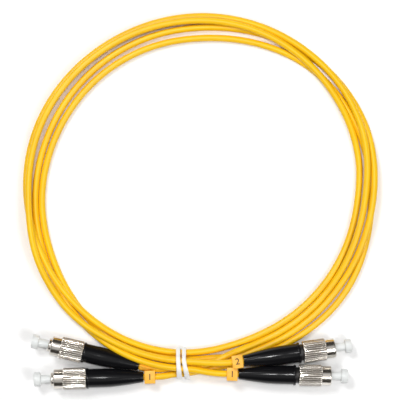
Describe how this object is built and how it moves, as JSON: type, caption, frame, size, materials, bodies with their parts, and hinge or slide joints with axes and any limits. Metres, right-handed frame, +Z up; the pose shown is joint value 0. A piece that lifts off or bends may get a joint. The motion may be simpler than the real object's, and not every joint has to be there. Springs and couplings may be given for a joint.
{
  "type": "duplex fiber optic patch cord",
  "caption": "Coiled pair of yellow optical patch cords with threaded plugs, black boots, sliding and turning nuts, sprung ferrules and pull-off dust caps, held by a white wire tie.",
  "frame": {"origin": "on the table, under the middle of the outline of the plugs and the tie", "axes": "+X along the tied side of the ring, towards the plugs that show right; +Y from the plugs towards the ring's middle; +Z up from the table"},
  "size_m": [0.1602, 0.1703, 0.0108],
  "materials": {
    "yellow_jacket": "satin PVC cord jacket",
    "yarn": "aramid yarn",
    "fibre_buffer": "white tight buffer on a glass fibre",
    "black_boot": "semi-gloss moulded elastomer",
    "crimp_metal": "nickel-plated brass",
    "nickel": "bright nickel-plated brass",
    "spring_steel": "plain spring steel",
    "zirconia": "ground zirconia ceramic",
    "cap_plastic": "translucent white soft plastic",
    "marker_plastic": "satin yellow plastic with a plain numeral",
    "tie_coating": "white PVC",
    "tie_wire": "soft steel wire"
  },
  "bodies": {
    "root": {"cord_1_left_lead": "yellow_jacket", "cord_1_coil": "yellow_jacket", "cord_1_right_lead": "yellow_jacket", "strength_yarn_1": "yarn", "buffered_fibre_1": "fibre_buffer", "cord_2_left_lead": "yellow_jacket", "cord_2_coil": "yellow_jacket", "cord_2_right_lead": "yellow_jacket", "strength_yarn_2": "yarn", "buffered_fibre_2": "fibre_buffer", "boot_left_1": "black_boot", "crimp_sleeve_left_1": "crimp_metal", "rear_body_left_1": "nickel", "front_barrel_left_1": "nickel", "ferrule_spring_left_1": "spring_steel", "cord_marker_left_1": "marker_plastic", "boot_left_2": "black_boot", "crimp_sleeve_left_2": "crimp_metal", "rear_body_left_2": "nickel", "front_barrel_left_2": "nickel", "ferrule_spring_left_2": "spring_steel", "cord_marker_left_2": "marker_plastic", "boot_right_1": "black_boot", "crimp_sleeve_right_1": "crimp_metal", "rear_body_right_1": "nickel", "front_barrel_right_1": "nickel", "ferrule_spring_right_1": "spring_steel", "cord_marker_right_1": "marker_plastic", "boot_right_2": "black_boot", "crimp_sleeve_right_2": "crimp_metal", "rear_body_right_2": "nickel", "front_barrel_right_2": "nickel", "ferrule_spring_right_2": "spring_steel", "cord_marker_right_2": "marker_plastic", "tie_coating": "tie_coating", "tie_wire": "tie_wire"},
    "nut_ring_body_left_1": {"nut_ring_left_1": "spring_steel"},
    "nut_body_left_1": {"coupling_nut_left_1": "nickel"},
    "ferrule_body_left_1": {"ferrule_left_1": "zirconia", "ferrule_holder_left_1": "crimp_metal"},
    "cap_body_left_1": {"dust_cap_left_1": "cap_plastic"},
    "nut_ring_body_left_2": {"nut_ring_left_2": "spring_steel"},
    "nut_body_left_2": {"coupling_nut_left_2": "nickel"},
    "ferrule_body_left_2": {"ferrule_left_2": "zirconia", "ferrule_holder_left_2": "crimp_metal"},
    "cap_body_left_2": {"dust_cap_left_2": "cap_plastic"},
    "nut_ring_body_right_1": {"nut_ring_right_1": "spring_steel"},
    "nut_body_right_1": {"coupling_nut_right_1": "nickel"},
    "ferrule_body_right_1": {"ferrule_right_1": "zirconia", "ferrule_holder_right_1": "crimp_metal"},
    "cap_body_right_1": {"dust_cap_right_1": "cap_plastic"},
    "nut_ring_body_right_2": {"nut_ring_right_2": "spring_steel"},
    "nut_body_right_2": {"coupling_nut_right_2": "nickel"},
    "ferrule_body_right_2": {"ferrule_right_2": "zirconia", "ferrule_holder_right_2": "crimp_metal"},
    "cap_body_right_2": {"dust_cap_right_2": "cap_plastic"}
  },
  "joints": [
    {"name": "nut_slide_left_1", "type": "slide", "parent": "root", "child": "nut_ring_body_left_1", "axis": [-0.999, -0.0209, 0.0384], "range_m": [0, 0.002]},
    {"name": "nut_spin_left_1", "type": "hinge", "parent": "nut_ring_body_left_1", "child": "nut_body_left_1", "pos_m": [-0.04772, -0.00744, 0.00488], "axis": [-0.999, -0.0209, 0.0384], "continuous": true},
    {"name": "ferrule_slide_left_1", "type": "slide", "parent": "root", "child": "ferrule_body_left_1", "axis": [-0.999, -0.0209, 0.0384], "range_m": [-0.0008, 0], "stiffness_N_per_m": 4000, "springref_m": 0.0015},
    {"name": "cap_pull_left_1", "type": "slide", "parent": "ferrule_body_left_1", "child": "cap_body_left_1", "axis": [-0.999, -0.0209, 0.0384], "range_m": [0, 0.012]},
    {"name": "nut_slide_left_2", "type": "slide", "parent": "root", "child": "nut_ring_body_left_2", "axis": [-0.9718, 0.2279, 0.061], "range_m": [0, 0.002]},
    {"name": "nut_spin_left_2", "type": "hinge", "parent": "nut_ring_body_left_2", "child": "nut_body_left_2", "pos_m": [-0.04922, 0.00428, 0.00487], "axis": [-0.9718, 0.2279, 0.061], "continuous": true},
    {"name": "ferrule_slide_left_2", "type": "slide", "parent": "root", "child": "ferrule_body_left_2", "axis": [-0.9718, 0.2279, 0.061], "range_m": [-0.0008, 0], "stiffness_N_per_m": 4000, "springref_m": 0.0015},
    {"name": "cap_pull_left_2", "type": "slide", "parent": "ferrule_body_left_2", "child": "cap_body_left_2", "axis": [-0.9718, 0.2279, 0.061], "range_m": [0, 0.012]},
    {"name": "nut_slide_right_1", "type": "slide", "parent": "root", "child": "nut_ring_body_right_1", "axis": [0.9994, -0.0209, -0.0262], "range_m": [-0.0013, 0.0007]},
    {"name": "nut_spin_right_1", "type": "hinge", "parent": "nut_ring_body_right_1", "child": "nut_body_right_1", "pos_m": [0.04843, -0.00597, 0.00516], "axis": [0.9994, -0.0209, -0.0262], "continuous": true},
    {"name": "ferrule_slide_right_1", "type": "slide", "parent": "root", "child": "ferrule_body_right_1", "axis": [0.9994, -0.0209, -0.0262], "range_m": [-0.0008, 0], "stiffness_N_per_m": 4000, "springref_m": 0.0015},
    {"name": "cap_pull_right_1", "type": "slide", "parent": "ferrule_body_right_1", "child": "cap_body_right_1", "axis": [0.9994, -0.0209, -0.0262], "range_m": [0, 0.012]},
    {"name": "nut_slide_right_2", "type": "slide", "parent": "root", "child": "nut_ring_body_right_2", "axis": [0.9879, 0.1336, -0.0785], "range_m": [-0.0013, 0.0007]},
    {"name": "nut_spin_right_2", "type": "hinge", "parent": "nut_ring_body_right_2", "child": "nut_body_right_2", "pos_m": [0.05032, 0.00445, 0.00567], "axis": [0.9879, 0.1336, -0.0785], "continuous": true},
    {"name": "ferrule_slide_right_2", "type": "slide", "parent": "root", "child": "ferrule_body_right_2", "axis": [0.9879, 0.1336, -0.0785], "range_m": [-0.0008, 0], "stiffness_N_per_m": 4000, "springref_m": 0.0015},
    {"name": "cap_pull_right_2", "type": "slide", "parent": "ferrule_body_right_2", "child": "cap_body_right_2", "axis": [0.9879, 0.1336, -0.0785], "range_m": [0, 0.012]}
  ]
}
